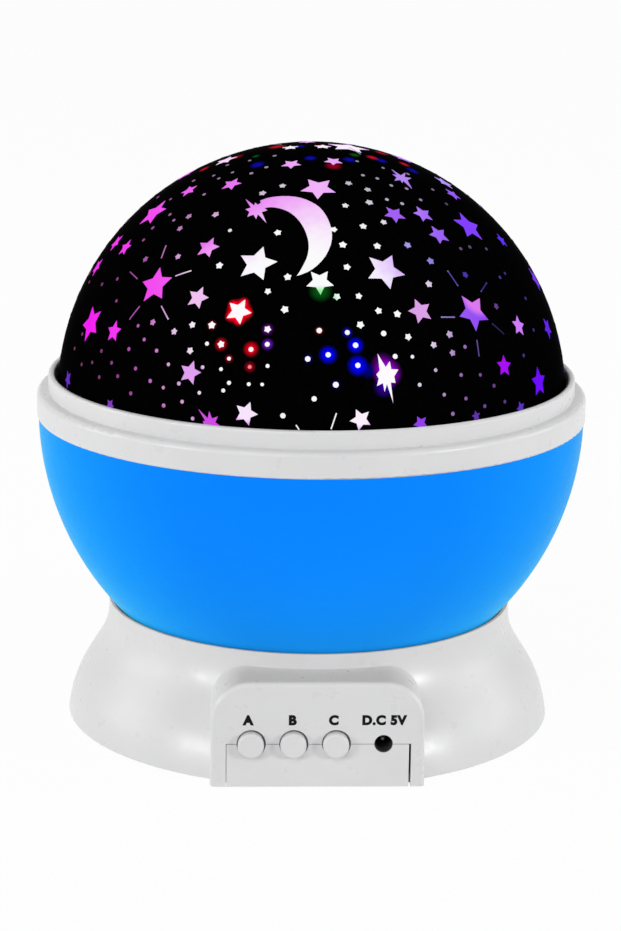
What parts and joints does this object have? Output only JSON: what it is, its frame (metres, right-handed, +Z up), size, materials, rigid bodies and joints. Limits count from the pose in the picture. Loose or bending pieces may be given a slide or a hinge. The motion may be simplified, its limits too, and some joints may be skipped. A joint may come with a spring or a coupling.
{
  "type": "star night light projector",
  "caption": "Round night light projector: a printed star dome and bowl turn on a flared base with push buttons, a power socket and a battery bay.",
  "frame": {"origin": "middle of the footprint, on the surface that the light stands on", "axes": "+Z up along the axis that the bowl turns on, -Y towards the control panel, +X to the right of the panel"},
  "size_m": [0.1254, 0.1254, 0.1327],
  "materials": {
    "white_plastic": "satin moulded ABS",
    "blue_plastic": "glossy translucent polystyrene",
    "printed_dome": "clear dome printed black, with clear stars",
    "natural_plastic": "natural acetal and ABS",
    "circuit_board": "solder mask",
    "black_plastic": "moulded",
    "screw_steel": "nickel plated",
    "foot_rubber": "matt",
    "battery_sleeve": "plain printed sleeve",
    "lamp_white": "clear epoxy",
    "lamp_green": "tinted epoxy",
    "lamp_red": "tinted epoxy",
    "lamp_blue": "tinted epoxy",
    "wire_insulation": "PVC"
  },
  "bodies": {
    "base": {"base_shell": "white_plastic", "bottom_cover": "white_plastic", "base_screws": "screw_steel", "rubber_feet": "foot_rubber", "main_board": "circuit_board", "board_parts": "black_plastic", "main_board_screws": "screw_steel", "switch_body_a": "black_plastic", "switch_body_b": "black_plastic", "switch_body_c": "black_plastic", "dc_jack": "black_plastic", "dc_jack_pin": "screw_steel", "battery_1": "battery_sleeve", "battery_2": "battery_sleeve", "battery_3": "battery_sleeve", "battery_4": "battery_sleeve", "battery_contacts": "screw_steel", "battery_springs": "screw_steel", "gearbox_case": "natural_plastic", "gearbox_screw": "screw_steel", "motor_can": "screw_steel", "bearing_ring": "natural_plastic", "turntable_hub": "natural_plastic", "hub_screws": "screw_steel", "light_tower": "natural_plastic", "tower_screws": "screw_steel", "led_board": "circuit_board", "led_board_screws": "screw_steel", "led_white": "lamp_white", "led_green": "lamp_green", "led_red": "lamp_red", "led_blue": "lamp_blue", "led_resistors": "black_plastic", "led_wires": "wire_insulation", "motor_wires": "wire_insulation", "battery_wires": "wire_insulation"},
    "turntable": {"bowl": "blue_plastic", "rim_ring": "white_plastic", "dome_collar": "white_plastic", "star_dome": "printed_dome", "ring_gear": "natural_plastic", "ring_gear_screws": "screw_steel"},
    "drive": {"drive_gear": "natural_plastic", "output_shaft": "screw_steel"},
    "button_a_body": {"button_a": "white_plastic", "switch_plunger_a": "black_plastic"},
    "button_b_body": {"button_b": "white_plastic", "switch_plunger_b": "black_plastic"},
    "button_c_body": {"button_c": "white_plastic", "switch_plunger_c": "black_plastic"},
    "door": {"battery_door": "white_plastic", "battery_door_screw": "screw_steel"}
  },
  "joints": [
    {"name": "bowl_rotation", "type": "hinge", "parent": "base", "child": "turntable", "pos_m": [0, 0, 0], "axis": [0, 0, 1], "continuous": true},
    {"name": "drive_gear_rotation", "type": "hinge", "parent": "base", "child": "drive", "pos_m": [0.027, 0, 0], "axis": [0, 0, 1], "continuous": true},
    {"name": "button_a_press", "type": "slide", "parent": "base", "child": "button_a_body", "axis": [0, 1, 0], "range_m": [0, 0.001], "stiffness_N_per_m": 250, "springref_m": -0.0005},
    {"name": "button_b_press", "type": "slide", "parent": "base", "child": "button_b_body", "axis": [0, 1, 0], "range_m": [0, 0.001], "stiffness_N_per_m": 250, "springref_m": -0.0005},
    {"name": "button_c_press", "type": "slide", "parent": "base", "child": "button_c_body", "axis": [0, 1, 0], "range_m": [0, 0.001], "stiffness_N_per_m": 250, "springref_m": -0.0005},
    {"name": "battery_door_swing", "type": "hinge", "parent": "base", "child": "door", "pos_m": [0, -0.0136, 0.0005], "axis": [-1, 0, 0], "range_deg": [0, 90]}
  ],
  "couplings": [
    {"joint": "drive_gear_rotation", "follows": "bowl_rotation", "ratio": 6.4}
  ]
}
